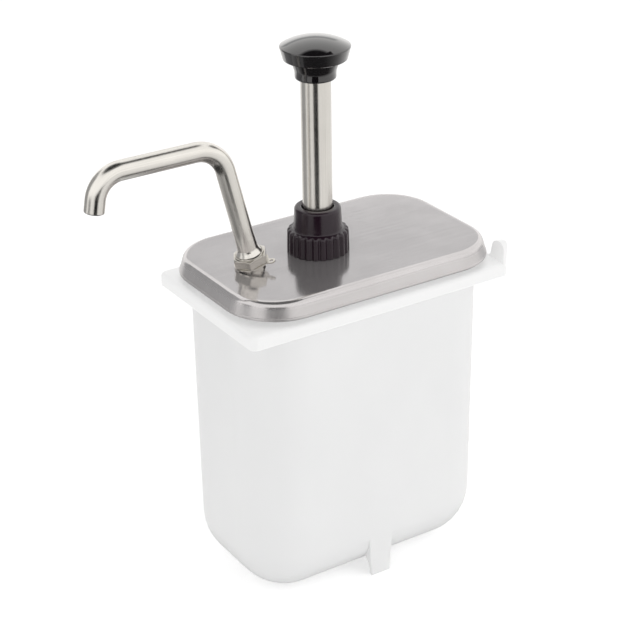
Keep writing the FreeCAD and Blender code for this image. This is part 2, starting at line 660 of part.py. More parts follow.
NODES = {
    "jar": jar, "lid": lid, "knob": knob, "knob_insert": knob_insert, "plunger_tube": plunger_tube,
    "bumper_ring": bumper_ring, "piston": piston, "piston_seals": piston_seals, "piston_screw": piston_screw,
    "spring_washer": spring_washer, "return_spring": return_spring, "locking_collar": locking_collar,
    "guide_bush": guide_bush, "wiper_seal": wiper_seal, "lid_gasket": lid_gasket,
    "pump_cylinder": pump_cylinder, "valve_body": valve_body, "valve_seal": valve_seal,
    "inlet_seat": inlet_seat, "inlet_ball": inlet_ball, "inlet_pin": inlet_pin,
    "outlet_ball": outlet_ball, "outlet_pin": outlet_pin, "intake_tube": intake_tube,
    "intake_screen": intake_screen, "spout_tube": spout_tube, "riser_seal": riser_seal,
    "riser_gland": riser_gland, "spout_nut": spout_nut, "lug_washer": lug_washer,
    "wedge_washer": wedge_washer,
}

os.makedirs("parts", exist_ok=True)
for name, build in NODES.items():
    shape = build()
    print(f"{name:16s} valid {shape.isValid()}  solids {len(shape.Solids)}  volume {shape.Volume:.1f}")
    shape.exportStep(f"parts/{name}.step")
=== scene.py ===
"""Looks of the condiment pump dispenser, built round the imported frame.

Sections are drawn in millimetres and scaled to metres when a piece is made.  +Z is up and the
spout points along -X.  The jar, the pump head and the plunger each carry their own pieces.
"""

import json
import math

import bmesh
import bpy
from mathutils import Matrix, Vector


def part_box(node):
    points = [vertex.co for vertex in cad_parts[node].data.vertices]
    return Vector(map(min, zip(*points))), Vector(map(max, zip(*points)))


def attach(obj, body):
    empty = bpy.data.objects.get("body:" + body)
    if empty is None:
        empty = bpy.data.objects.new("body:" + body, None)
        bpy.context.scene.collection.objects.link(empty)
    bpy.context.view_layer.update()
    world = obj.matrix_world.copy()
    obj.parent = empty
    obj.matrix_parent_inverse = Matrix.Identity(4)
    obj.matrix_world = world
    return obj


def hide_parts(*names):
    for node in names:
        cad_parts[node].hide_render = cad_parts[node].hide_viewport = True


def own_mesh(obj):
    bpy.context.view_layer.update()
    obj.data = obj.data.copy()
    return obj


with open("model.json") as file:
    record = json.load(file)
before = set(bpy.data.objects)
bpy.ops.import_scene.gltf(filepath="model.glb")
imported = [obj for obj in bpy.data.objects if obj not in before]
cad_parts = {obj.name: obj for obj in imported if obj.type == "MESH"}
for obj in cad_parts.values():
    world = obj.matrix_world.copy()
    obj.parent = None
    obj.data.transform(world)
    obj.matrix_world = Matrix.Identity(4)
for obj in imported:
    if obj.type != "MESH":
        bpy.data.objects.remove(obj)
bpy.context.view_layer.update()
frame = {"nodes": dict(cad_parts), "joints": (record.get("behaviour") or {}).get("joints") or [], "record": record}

MM = 0.001
X = Vector((1, 0, 0))
Y = Vector((0, 1, 0))
Z = Vector((0, 0, 1))


def box_mm(node):
    """A CAD node's lowest and highest corner in millimetres."""
    low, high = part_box(node)
    return low / MM, high / MM


# ---------------------------------------------------------------- sizes read from the frame

jar_low, jar_high = box_mm("jar")
lid_low, lid_high = box_mm("lid")
knob_low, knob_high = box_mm("knob")
collar_low, collar_high = box_mm("locking_collar")
cylinder_low, cylinder_high = box_mm("pump_cylinder")
spout_low, spout_high = box_mm("spout_tube")
ball_low, ball_high = box_mm("outlet_ball")

LID_TOP = lid_high.z
PUMP_X = (knob_low.x + knob_high.x) / 2
PUMP = Vector((PUMP_X, 0, 0))
BALL_CENTRE = (ball_low + ball_high) / 2
RISER_AXIS = Vector(next(j["axis"] for j in frame["joints"] if j["child"] == "outlet_ball"))
RISER_FOOT = BALL_CENTRE + RISER_AXIS * ((LID_TOP - BALL_CENTRE.z) / RISER_AXIS.z)
LEAN = math.atan2(-RISER_AXIS.x, RISER_AXIS.z)

# ---------------------------------------------------------------- sizes of the looks, in mm

FLANGE_TOP = jar_high.z - 14.8
RIM_HEIGHT = 9.4
RIM_SKIN = 2.6
RIM_ROUND = 3.35
RIM = (jar_high.x, jar_high.y, 4.6)     # half length, half width and corner radius
JAR_WALL = 2.8
JAR_CORNER = 37.0
LIP_INSET_X = 9.0
LIP_INSET_Y = 5.2
LIP_CORNER = 34.4
BODY_INSET_X = 6.3
BODY_INSET_Y = 4.3
DRAFT = 1.0
BOTTOM_R = 35.0
LUG_RISE = 13.8                # above the flange's top
LUG_THICK = 4.6

LID_CORNER = 36.0
LID_FLARE = 3.1
LID_BEND = 4.0
LID_SHEET = 0.8
HEM = 1.8
PUMP_HOLE_R = 15.4

TUBE_R = 6.25
TUBE_BORE_R = 5.25
TOP_BEND_R = 21.0
TIP_BEND_R = 17.5
TIP_TURN = math.radians(80.0)
TIP_STRAIGHT = 8.0
RUN_Z = spout_high.z - TUBE_R
NUT_S = 4.2
NUT_HEIGHT = 6.6
FLARE_R = 8.2
NUT_BORE_R = TUBE_R + 0.05

CORNER_STEPS = 14              # points round each corner of a plan
BEVEL_STEPS = 3
SHARPEST = 0.3                 # the smallest corner radius of a plan
SUPPORT = 0.1                  # an unrounded ring stands this far past a rounding
WELD = 1e-5
WELD_AFTER_CUT = 1e-4


# ---------------------------------------------------------------- section and mesh helpers

def corner_arc(before, corner, after, radius, share_before, share_after, steps):
    """Points rounding a corner; the first and last number of a point are its place in the section."""
    def leg(point):
        length = math.hypot(point[0] - corner[0], point[-1] - corner[-1])
        return [(p - c) / length for p, c in zip(point, corner)], length

    u, reach_u = leg(before)
    v, reach_v = leg(after)
    half = math.acos(max(-1.0, min(1.0, u[0] * v[0] + u[-1] * v[-1]))) / 2
    tangent = min(radius / math.tan(half), share_before * reach_u, share_after * reach_v)
    fitted = tangent * math.tan(half)
    turn = math.pi / 2 - half
    points = []
    for k in range(steps + 1):
        a = turn * (2 * k / steps - 1)
        inward = (fitted / math.sin(half) - fitted * math.cos(a)) / (2 * math.cos(half))
        across = fitted * math.sin(a) / (2 * math.sin(half))
        points.append(tuple(c + (inward - across) * p + (inward + across) * q
                            for c, p, q in zip(corner, u, v)))
    return points


def rounded(corners, closed=False, steps=6):
    """A section from (place..., radius) corners, each rounded by its radius."""
    count = len(corners)
    points = []
    for k, (*corner, radius) in enumerate(corners):
        if radius <= 0 or (not closed and k in (0, count - 1)):
            points.append(tuple(corner))
            continue
        before = corners[k - 1]
        after = corners[(k + 1) % count]
        shares = [0.98 if neighbour[-1] <= 0 else 0.49 for neighbour in (before, after)]
        points += corner_arc(before[:-1], corner, after[:-1], radius, *shares, steps)
    return points


def divided(points, longest, closed=True):
    """The same section with its long straight runs cut into shorter ones."""
    result = []
    following = points[1:] + points[:1] if closed else points[1:]
    for here, after in zip(points, following):
        count = max(1, math.ceil(math.dist(here, after) / longest))
        for k in range(count):
            result.append(tuple(a + (b - a) * k / count for a, b in zip(here, after)))
    return result if closed else result + [points[-1]]


def turned(profile_at, segments, closed=True):
    """A solid turned about Z.  profile_at(angle) gives (radius, z) pairs, in the same number.

    Each point keeps its straight, unbent place as "grain", which a finish can draw its lines in.
    """
    bm = bmesh.new()
    grain = bm.verts.layers.float_vector.new("grain")
    columns = []
    for k in range(segments):
        angle = 2 * math.pi * k / segments
        column = []
        for radius, z in profile_at(angle):
            place = Vector((radius * math.cos(angle), radius * math.sin(angle), z))
            vert = bm.verts.new(place)
            vert[grain] = place * MM
            column.append(vert)
        columns.append(column)
    rows = len(columns[0]) if closed else len(columns[0]) - 1
    for here, after in zip(columns, columns[1:] + columns[:1]):
        for k in range(rows):
            n = (k + 1) % len(here)
            bm.faces.new((here[k], after[k], after[n], here[n]))
    bmesh.ops.remove_doubles(bm, verts=bm.verts, dist=WELD)
    bmesh.ops.recalc_face_normals(bm, faces=bm.faces)
    return bm


def lathe(corners, segments, closed=True, steps=6, longest=None):
    """A solid turned about Z from (radius, z, rounding) corners."""
    section = rounded(corners, closed, steps)
    if longest:
        section = divided(section, longest, closed)
    return turned(lambda angle: section, segments, closed)


def plan(half_x, half_y, radius, z):
    """The points of a rounded rectangle at one height."""
    r = max(radius, SHARPEST)
    points = []
    for sx, sy, start in ((1, 1, 0), (-1, 1, 90), (-1, -1, 180), (1, -1, 270)):
        for k in range(CORNER_STEPS + 1):
            a = math.radians(start + 90 * k / CORNER_STEPS)
            points.append(Vector((sx * (half_x - r) + r * math.cos(a),
                                  sy * (half_y - r) + r * math.sin(a), z)))
    return points


def skinned(loops):
    """A closed solid through loops of points, in the same number."""
    bm = bmesh.new()
    loops = [[bm.verts.new(p) for p in loop] for loop in loops]
    for low, high in zip(loops, loops[1:]):
        for k in range(len(low)):
            n = (k + 1) % len(low)
            bm.faces.new((low[k], low[n], high[n], high[k]))
    bm.faces.new(list(reversed(loops[0])))
    bm.faces.new(loops[-1])
    bmesh.ops.recalc_face_normals(bm, faces=bm.faces)
    return bm


def lofted(rings):
    """A closed solid through rings of (half_x, half_y, corner radius, z)."""
    return skinned([plan(*one) for one in rings])


def inset(outline, by):
    """A (half_x, half_y, corner radius) outline drawn inwards."""
    return tuple(v - by for v in outline)


def ring(outline, by, z, rounding):
    """One corner of a lofted section: an outline drawn inwards, its height and its rounding."""
    return (*inset(outline, by), z, rounding)


def extruded(outline, depth):
    """A prism: outline points and the vector that they are pushed along."""
    return skinned([outline, [p + depth for p in outline]])


def placed(bm, at, axis=Z):
    """Stands a piece that was drawn along Z at a point, along an axis."""
    turn = Z.rotation_difference(axis).to_matrix().to_4x4()
    bm.transform(Matrix.Translation(at) @ turn)
    return bm


def softened(bm, width, angle):
    """Bevels the edges that turn by more than an angle."""
    limit = math.radians(angle)
    edges = [e for e in bm.edges if len(e.link_faces) == 2 and e.calc_face_angle() > limit]
    bmesh.ops.bevel(bm, geom=edges, offset=width, segments=BEVEL_STEPS, profile=0.5,
                    affect="EDGES", clamp_overlap=True)
    return bm


def drill(radius, low, high, segments):
    """A plug that cuts a round hole along Z."""
    return lathe([(0, low, 0), (radius, low, 0), (radius, high, 0), (0, high, 0)], segments, False)


def mesh_of(name, bm):
    mesh = bpy.data.meshes.new(name)
    bm.to_mesh(mesh)
    bm.free()
    return mesh


def linked(name, data):
    """A new object in the scene."""
    obj = bpy.data.objects.new(name, data)
    bpy.context.scene.collection.objects.link(obj)
    return obj


def combined(first, second, operation):
    """The boolean UNION, DIFFERENCE or INTERSECT of two closed solids."""
    a = linked("scratch", mesh_of("scratch", first))
    b = linked("scratch", mesh_of("scratch", second))
    modifier = a.modifiers.new("cut", "BOOLEAN")
    modifier.operation = operation
    modifier.solver = "EXACT"
    modifier.object = b
    made = a.evaluated_get(bpy.context.evaluated_depsgraph_get())
    bm = bmesh.new()
    bm.from_mesh(made.data)
    bpy.data.objects.remove(a)
    bpy.data.objects.remove(b)
    bmesh.ops.remove_doubles(bm, verts=bm.verts, dist=WELD_AFTER_CUT)
    return bm


def piece(name, bm, body, slot, *nodes, sharp=38.0):
    """Makes the object, gives it its finish, hangs it on its body and hides the CAD nodes that it replaces."""
    bm.transform(Matrix.Scale(MM, 4))
    mesh = mesh_of(name, bm)
    mesh.shade_smooth()
    mesh.set_sharp_from_angle(angle=math.radians(sharp))
    obj = linked(name, mesh)
    mesh.materials.append(finishes[slot])
    modifier = obj.modifiers.new("even shading", "WEIGHTED_NORMAL")
    modifier.keep_sharp = True
    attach(obj, body)
    if nodes:
        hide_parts(*nodes)
    return obj


# ---------------------------------------------------------------- finishes

NOISE_LOW = 0.3                # nearly all noise lies between these two values
NOISE_HIGH = 0.7
NOISE_ROUGHNESS = 0.55
PATCHES = (30.0, 30.0, 30.0)   # noise scales are per metre, depths and heights in metres
DRIFT = (18.0, 18.0, 10.8)
GRAIN_DEPTH = 0.00005
SKIN_DEPTH = 0.00006
DRIFT_DEPTH = 0.002
COAT_ROUGHNESS = 0.05
FLANGE_PAINTED_GLOW = 0.35             # painted light: emission on the flange that fills in the shade the lid casts on it

# The places of the colour sockets in a Mix node, where several sockets share a name.
MIX_A = 6
MIX_B = 7
MIX_RESULT = 2


def add(tree, kind, inputs=(), **settings):
    """A shader node with its settings, and its inputs set by name or by place."""
    node = tree.nodes.new(kind)
    for key, value in settings.items():
        setattr(node, key, value)
    for key, value in dict(inputs).items():
        if isinstance(value, bpy.types.NodeSocket):
            tree.links.new(value, node.inputs[key])
        else:
            node.inputs[key].default_value = value
    return node


def start_material(name):
    """A new material, its node tree and its main shader."""
    material = bpy.data.materials.new(name)
    material.use_nodes = True
    tree = material.node_tree
    return material, tree, tree.nodes["Principled BSDF"]


def stretched_noise(tree, vector, scale, detail):
    """Noise in a space scaled by (x, y, z), so that it can run in lines."""
    mapping = add(tree, "ShaderNodeMapping", {"Vector": vector, "Scale": scale})
    noise = add(tree, "ShaderNodeTexNoise", {"Vector": mapping.outputs[0], "Scale": 1.0,
                                             "Detail": detail, "Roughness": NOISE_ROUGHNESS})
    return noise.outputs["Fac"]


def spread(tree, value, low, high, start=NOISE_LOW, end=NOISE_HIGH):
    """Maps a value from start..end to low..high."""
    node = add(tree, "ShaderNodeMapRange",
               {"Value": value, "From Min": start, "From Max": end, "To Min": low, "To Max": high})
    return node.outputs[0]


def tinted(tree, value, dark, light):
    """A colour between dark and light."""
    ramp = add(tree, "ShaderNodeValToRGB", {"Fac": value})
    for stop, place, tint in zip(ramp.color_ramp.elements, (NOISE_LOW, NOISE_HIGH), (dark, light)):
        stop.position = place
        stop.color = (*tint, 1)
    return ramp.outputs[0]


def object_space(tree):
    return add(tree, "ShaderNodeTexCoord").outputs["Object"]


def object_height(tree):
    """The height in metres where the piece is at rest."""
    return add(tree, "ShaderNodeSeparateXYZ", {0: object_space(tree)}).outputs["Z"]


def steel(name, dark, light, rough, grain, own_grain=False, bump=0.06, metallic=1.0):
    """Metal with drawn lines.  grain is the noise's scale per metre along each axis."""
    material, tree, shader = start_material(name)
    if own_grain:
        space = add(tree, "ShaderNodeAttribute", attribute_name="grain").outputs["Vector"]
    else:
        space = object_space(tree)
    lines = stretched_noise(tree, space, grain, 4.0)
    patches = stretched_noise(tree, space, PATCHES, 2.0)
    mixed = add(tree, "ShaderNodeMath", {0: lines, 1: patches}, operation="ADD").outputs[0]
    even = add(tree, "ShaderNodeMath", {0: mixed, 1: 0.5}, operation="MULTIPLY").outputs[0]
    height = add(tree, "ShaderNodeBump", {"Height": lines, "Strength": bump, "Distance": GRAIN_DEPTH})
    tree.links.new(tinted(tree, even, dark, light), shader.inputs["Base Color"])
    tree.links.new(spread(tree, even, *rough), shader.inputs["Roughness"])
    tree.links.new(height.outputs[0], shader.inputs["Normal"])
    shader.inputs["Metallic"].default_value = metallic
    return material


def moulded(name, dark, light, rough, texture, bump, coat=0.0, sink=0.0, gloss=0.5):
    """Moulded or machined plastic: a fine skin, slow colour drift and small roughness changes."""
    material, tree, shader = start_material(name)
    space = object_space(tree)
    skin = stretched_noise(tree, space, (texture, texture, texture), 4.0)
    drift = stretched_noise(tree, space, DRIFT, 2.0)
    fine = add(tree, "ShaderNodeBump", {"Height": skin, "Strength": bump, "Distance": SKIN_DEPTH})
    slow = add(tree, "ShaderNodeBump", {"Height": drift, "Strength": sink, "Distance": DRIFT_DEPTH,
                                        "Normal": fine.outputs[0]})
    tree.links.new(tinted(tree, drift, dark, light), shader.inputs["Base Color"])
    tree.links.new(spread(tree, skin, *rough), shader.inputs["Roughness"])
    tree.links.new(slow.outputs[0], shader.inputs["Normal"])
    shader.inputs["Specular IOR Level"].default_value = gloss
    shader.inputs["Coat Weight"].default_value = coat
    shader.inputs["Coat Roughness"].default_value = COAT_ROUGHNESS
    return material


def jar_finish():
    """Milky polypropylene, with painted light on the flange: a glow over a darker base colour fills in the lid's
    shade there.
    """
    material = moulded("jar plastic", (0.812, 0.813, 0.813), (0.832, 0.833, 0.832),
                       (0.34, 0.46), 2600.0, 0.10, sink=0.03)
    tree = material.node_tree
    shader = tree.nodes["Principled BSDF"]
    flange = (FLANGE_TOP - RIM_HEIGHT) * MM
    # Painted light: above this height the base colour is darker and the surface glows, so the shade that the lid
    # casts on the flange is filled in.
    above = spread(tree, object_height(tree), 0.0, 1.0, flange - 0.002, flange + 0.001)
    body_colour = shader.inputs["Base Color"].links[0].from_socket
    mixed = add(tree, "ShaderNodeMix", {"Factor": above, MIX_A: body_colour,
                                        MIX_B: (0.55, 0.55, 0.548, 1)}, data_type="RGBA")
    glow = tinted(tree, above, (0.0, 0.0, 0.0), (1.0, 1.0, 0.997))
    tree.links.new(mixed.outputs[MIX_RESULT], shader.inputs["Base Color"])
    tree.links.new(glow, shader.inputs["Emission Color"])
    shader.inputs["Emission Strength"].default_value = FLANGE_PAINTED_GLOW
    shader.inputs["Subsurface Weight"].default_value = 0.2
    shader.inputs["Subsurface Radius"].default_value = (1.0, 1.0, 0.95)
    shader.inputs["Subsurface Scale"].default_value = 0.0015
    shader.inputs["IOR"].default_value = 1.49
    return material


def lid_finish():
    """Brushed sheet: nearly a mirror on top, duller on the skirt that was drawn down from it."""
    material = steel("lid steel", (0.50, 0.482, 0.482), (0.58, 0.562, 0.563), (0.0, 0.05),
                     (14.0, 1600.0, 60.0), bump=0.04, metallic=0.8)
    tree = material.node_tree
    shader = tree.nodes["Principled BSDF"]
    skirt, top = 0.30, 0.105
    base = spread(tree, object_height(tree), skirt, top, (LID_TOP - 5.0) * MM, (LID_TOP - 0.4) * MM)
    drift = shader.inputs["Roughness"].links[0].from_socket
    total = add(tree, "ShaderNodeMath", {0: drift, 1: base}, operation="ADD").outputs[0]
    tree.links.new(total, shader.inputs["Roughness"])
    return material


def make_finishes():
    return {
        "jar_plastic": jar_finish(),
        "lid_steel": lid_finish(),
        "tube_steel": steel("tube steel", (0.58, 0.56, 0.525), (0.73, 0.71, 0.675), (0.18, 0.28),
                            (1500.0, 1500.0, 12.0), own_grain=True, bump=0.12),
        "fitting_steel": steel("fitting steel", (0.40, 0.38, 0.35), (0.58, 0.56, 0.52), (0.14, 0.22),
                               (260.0, 260.0, 2200.0)),
        "spring_steel": steel("spring steel", (0.42, 0.42, 0.42), (0.55, 0.55, 0.55), (0.25, 0.38),
                              (900.0, 900.0, 900.0)),
        "ball_steel": steel("ball steel", (0.70, 0.70, 0.71), (0.76, 0.76, 0.77), (0.04, 0.09),
                            (500.0, 500.0, 500.0), bump=0.02),
        "insert_brass": steel("insert brass", (0.62, 0.44, 0.20), (0.74, 0.57, 0.30), (0.2, 0.32),
                              (200.0, 200.0, 2400.0)),
        "knob_black": moulded("knob black", (0.003, 0.0022, 0.003), (0.005, 0.004, 0.005),
                              (0.05, 0.09), 900.0, 0.02, coat=1.0, sink=0.02),
        "collar_black": moulded("collar black", (0.011, 0.003, 0.0085), (0.017, 0.006, 0.0135),
                                (0.20, 0.28), 1800.0, 0.08, coat=0.18, sink=0.03, gloss=0.34),
        "acetal_white": moulded("acetal white", (0.74, 0.735, 0.71), (0.81, 0.805, 0.785),
                                (0.30, 0.44), 1500.0, 0.12),
        "seal_rubber": moulded("seal rubber", (0.014, 0.014, 0.014), (0.028, 0.028, 0.027),
                               (0.50, 0.68), 2200.0, 0.2),
    }


finishes = make_finishes()


# ---------------------------------------------------------------- jar

def jar_section():
    """Rings from the inside floor, up and over the lip and the flange, and down to the foot."""
    low = FLANGE_TOP - RIM_HEIGHT
    under = FLANGE_TOP - RIM_SKIN
    lip = (jar_high.x - LIP_INSET_X, jar_high.y - LIP_INSET_Y, LIP_CORNER)
    body = (jar_high.x - BODY_INSET_X, jar_high.y - BODY_INSET_Y, JAR_CORNER)
    foot = inset(body, DRAFT)
    mouth = inset(lip, JAR_WALL)
    inner = inset(body, JAR_WALL)
    inner_foot = inset(foot, JAR_WALL)
    floor_margin = 40.0
    foot_margin = 45.0
    lip_fillet = 1.4
    skin_fillet = 0.8
    return [ring(inner_foot, floor_margin, JAR_WALL, 0),
            ring(inner_foot, 0, JAR_WALL, BOTTOM_R - JAR_WALL),
            ring(inner, 0, under, 1.0), ring(mouth, 0, under, 0.8),
            ring(mouth, 0, jar_high.z, 1.2), ring(lip, 0, jar_high.z, 1.2),
            ring(lip, 0, FLANGE_TOP, lip_fillet), ring(lip, -lip_fillet - SUPPORT, FLANGE_TOP, 0),
            ring(RIM, RIM_ROUND + SUPPORT, FLANGE_TOP, 0), ring(RIM, 0, FLANGE_TOP, RIM_ROUND),
            ring(RIM, 0, low, 0.7), ring(RIM, RIM_SKIN, low, 0.7),
            ring(RIM, RIM_SKIN, under, skin_fillet),
            ring(RIM, RIM_SKIN + skin_fillet + SUPPORT, under, 0),
            ring(body, 0, under, 1.4), ring(foot, 0, 0, BOTTOM_R), ring(foot, foot_margin, 0, 0)]


def jar_foot(side):
    """A tapered leg flush with one long wall, level with the jar's flat bottom."""
    wall = jar_high.y - BODY_INSET_Y - DRAFT
    thick = 3.2
    edge = 0.9
    fillet = 12.0
    high = 38.0
    tip = 14.4
    root = 19.5
    back = wall - thick
    section = rounded([(wall, high, 0), (wall, 0, edge), (back, 0, edge),
                       (back, fillet * 0.55, 9.0), (back - fillet, high * 0.6, 6.0),
                       (back - fillet, high, 0)], steps=5)
    bm = extruded([Vector((-root / 2, y * side, z)) for y, z in section], X * root)
    for vert in bm.verts:
        share = vert.co.z / high
        vert.co.x *= (tip + (root - tip) * share) / root
    return softened(bm, 0.7, 60.0)


def jar_lug():
    """The upstanding ear at one corner of the flange."""
    near_y = -(jar_high.y - 0.6)
    far_y = near_y + 19.0
    crest = FLANGE_TOP + LUG_RISE
    root = FLANGE_TOP - 1.5
    spare = 2.0
    section = rounded([(near_y, root, 0), (near_y, crest, 5.5), (near_y + 11.5, crest - 0.6, 6.0),
                       (near_y + 14.2, FLANGE_TOP + 1.0, 3.0), (far_y, FLANGE_TOP - 0.4, 0),
                       (far_y, root, 0)], steps=8)
    bm = extruded([Vector((jar_high.x - LUG_THICK, y, z)) for y, z in section], X * LUG_THICK)
    within = lofted([(*RIM, root - spare), (*RIM, crest + spare)])
    return softened(combined(bm, within, "INTERSECT"), 0.8, 50.0)


def make_jar():
    """The jar with its two feet and its lug, as one moulding."""
    bm = lofted(rounded(jar_section(), steps=10))
    for extra in (jar_foot(-1), jar_foot(1), jar_lug()):
        bm = combined(bm, extra, "UNION")
    piece("jar_shell", bm, "jar", "jar_plastic", "jar", sharp=32.0)


# ---------------------------------------------------------------- lid

def make_lid():
    """A pressed sheet with a flared skirt, a rolled hem and a hole for the pump and the riser."""
    low = lid_low.z
    hem_top = low + HEM
    under = LID_TOP - LID_SHEET
    skirt = (lid_high.x, lid_high.y, LID_CORNER)
    top = inset(skirt, LID_FLARE)
    margin = 12.0
    hem_round = 0.85
    section = [ring(top, margin, under, 0), ring(top, LID_SHEET, under, LID_BEND - LID_SHEET),
               ring(skirt, LID_SHEET + 0.6, hem_top + 0.5, 0.2), ring(skirt, HEM, hem_top, 0.3),
               ring(skirt, HEM, low, hem_round), ring(skirt, 0, low, hem_round),
               ring(skirt, 0, hem_top, 0.5), ring(skirt, 0.5, hem_top + 0.35, 0.25),
               ring(top, 0, LID_TOP, LID_BEND), ring(top, LID_BEND + 1.0, LID_TOP, 0),
               ring(top, margin, LID_TOP, 0)]
    bm = lofted(rounded(section, steps=8))
    pump_hole = placed(drill(PUMP_HOLE_R, -20, 10, 96), PUMP + Z * LID_TOP)
    riser_hole = placed(drill(TUBE_R + 1, -12, 8, 64), RISER_FOOT, RISER_AXIS)
    bm = combined(bm, pump_hole, "DIFFERENCE")
    bm = combined(bm, riser_hole, "DIFFERENCE")
    piece("lid_pressing", bm, "pump_head", "lid_steel", "lid", sharp=32.0)


# ---------------------------------------------------------------- knob and plunger

def make_knob():
    """A mushroom knob: a sleeve over the tube, a flaring neck, a thin brim and a domed top."""
    base = knob_low.z
    top = knob_high.z
    brim = (knob_high.x - knob_low.x) / 2
    brim_z = top - 6.0
    dome_edge = brim - 0.9
    crown = top - brim_z - 0.55
    dome_r = (dome_edge ** 2 + crown ** 2) / (2 * crown)
    span = math.asin(dome_edge / dome_r)
    steps = 14
    dome = []
    for k in range(steps, -1, -1):
        a = span * k / steps
        dome.append((dome_r * math.sin(a), top - dome_r + dome_r * math.cos(a), 0))
    stud_r = 4.0
    stud_top = base + 17.8
    socket_r = 9.5
    socket_top = base + 6.0
    sleeve_r = 12.9
    corners = [(0, stud_top, 0), (stud_r, stud_top, 0), (stud_r, socket_top, 0),
               (socket_r, socket_top, 0), (socket_r, base, 0.25), (sleeve_r, base, 1.3),
               (sleeve_r + 0.05, base + 4.6, 12.0), (15.2, base + 11.6, 1.8),
               (19.3, base + 12.1, 0.35), (20.0, base + 12.7, 0.5), (brim, brim_z, 0.75)]
    bm = lathe(corners + dome, 128, closed=False, steps=7)
    piece("knob_cap", placed(bm, PUMP), "plunger", "knob_black", "knob", sharp=45.0)


def make_plunger_tube():
    low, high = box_mm("plunger_tube")
    radius = (high.x - low.x) / 2
    bore = radius - 1.25
    edge = 0.25
    corners = [(radius, low.z, edge), (radius, high.z, edge), (bore, high.z, edge),
               (bore, low.z, edge)]
    bm = lathe(corners, 128, steps=3, longest=8.0)
    piece("plunger_rod", placed(bm, PUMP), "plunger", "tube_steel", "plunger_tube")


# ---------------------------------------------------------------- collar

FLUTES = 24
FLUTE_R = 1.15
FLUTE_DEPTH = 1.3
FLUTE_INSET = 3.4              # the grooves begin this far inside the skirt's radius
FLUTE_FADE = 2.2               # and reach their depth over this much more


def fluted(radius, angle, outer):
    """The radius with a smooth groove in the skirt; the lobes between grooves stay full."""
    pitch = 2 * math.pi / FLUTES
    off = (angle + pitch / 2) % pitch - pitch / 2
    groove = FLUTE_DEPTH * math.exp(-(outer * off / FLUTE_R) ** 2)
    reach = max(0.0, min(1.0, (radius - outer + FLUTE_INSET) / FLUTE_FADE))
    return radius - groove * reach


def make_collar():
    """The clamping collar: a fluted skirt, a plain sleeve and a mouth round the plunger."""
    base = collar_low.z
    top = collar_high.z
    outer = (collar_high.x - collar_low.x) / 2
    skirt = base + 14.6
    thread_r = 15.0
    thread_top = base + 12.4
    cavity_r = 11.8
    cavity_top = top - 2.0
    mouth_r = 10.3
    edge = 0.2
    corners = [(thread_r, base, 0.3), (outer, base, 0.5), (outer - 0.4, skirt, 2.1),
               (15.6, skirt + 0.2, 1.2), (14.75, top, 1.9), (mouth_r, top, 0.9),
               (mouth_r - 0.2, cavity_top, edge), (cavity_r, cavity_top, edge),
               (cavity_r, thread_top, edge), (thread_r, thread_top, edge)]
    section = divided(rounded(corners, True, 7), 1.6)

    def profile(angle):
        return [(fluted(r, angle, outer), z) for r, z in section]

    bm = turned(profile, FLUTES * 18)
    piece("clamping_collar", placed(bm, PUMP), "pump_head", "collar_black", "locking_collar",
          sharp=50.0)


# ---------------------------------------------------------------- spout, nut and riser fittings

def spout_route():
    """The foot's place along the riser from the lid's top, and the (length, turn) runs to the tip."""
    foot = (spout_low.z + TUBE_R * math.sin(LEAN) - LID_TOP) / math.cos(LEAN)
    turn = math.pi / 2 - LEAN
    tangent = TOP_BEND_R * math.tan(turn / 2)
    rise = (RUN_Z - LID_TOP) / math.cos(LEAN) - tangent - foot
    tip_reach = TIP_BEND_R * math.sin(TIP_TURN) + TIP_STRAIGHT * math.cos(TIP_TURN)
    lip_reach = TUBE_R * math.sin(TIP_TURN)
    tip_start_x = spout_low.x + tip_reach + lip_reach
    corner_x = RISER_FOOT.x - (RUN_Z - LID_TOP) * math.tan(LEAN)
    run = corner_x - tangent - tip_start_x
    return foot, [(rise, 0.0), (TOP_BEND_R * turn, turn), (run, 0.0),
                  (TIP_BEND_R * TIP_TURN, TIP_TURN), (TIP_STRAIGHT, 0.0)]


def on_route(s):
    """The point and direction at distance s above the lid's top along the tube."""
    foot, runs = spout_route()
    point = RISER_FOOT + RISER_AXIS * foot
    heading = LEAN
    left = s - foot
    for k, (length, turn) in enumerate(runs):
        step = left if k == len(runs) - 1 else min(left, length)
        if turn:
            radius = length / turn
            after = heading + step / radius
            point = point + radius * Vector((math.cos(after) - math.cos(heading), 0,
                                             math.sin(after) - math.sin(heading)))
            heading = after
        else:
            point = point + Vector((-math.sin(heading), 0, math.cos(heading))) * step
        left -= step
        if left <= 1e-9:
            break
    return point, Vector((-math.sin(heading), 0, math.cos(heading)))


def make_spout():
    """The riser and spout: a straight tube with its flare and its closed lip, bent to the route."""
    foot, runs = spout_route()
    end = foot + sum(length for length, turn in runs)
    seat = NUT_S + NUT_HEIGHT
    lip_r = TUBE_BORE_R - 0.8
    corners = [(TUBE_R, foot, 0.3), (TUBE_R, seat - 3.2, 0), (FLARE_R, seat - 3.0, 0.1),
               (FLARE_R, seat + 0.2, 0.6), (TUBE_R + 0.35, seat + 3.2, 4.0),
               (TUBE_R, seat + 14.0, 0), (TUBE_R, end, 1.9), (lip_r, end, 0.35),
               (lip_r, end - 0.9, 0.3), (TUBE_BORE_R, end - 2.2, 0.8), (TUBE_BORE_R, foot, 0.3)]
    bm = lathe(corners, 72, steps=6, longest=1.8)
    for vert in bm.verts:
        point, direction = on_route(vert.co.z)
        side = Vector((direction.z, 0, -direction.x))
        vert.co = point + side * vert.co.x + Y * vert.co.y
    piece("spout_pipe", bm, "pump_head", "tube_steel", "spout_tube")


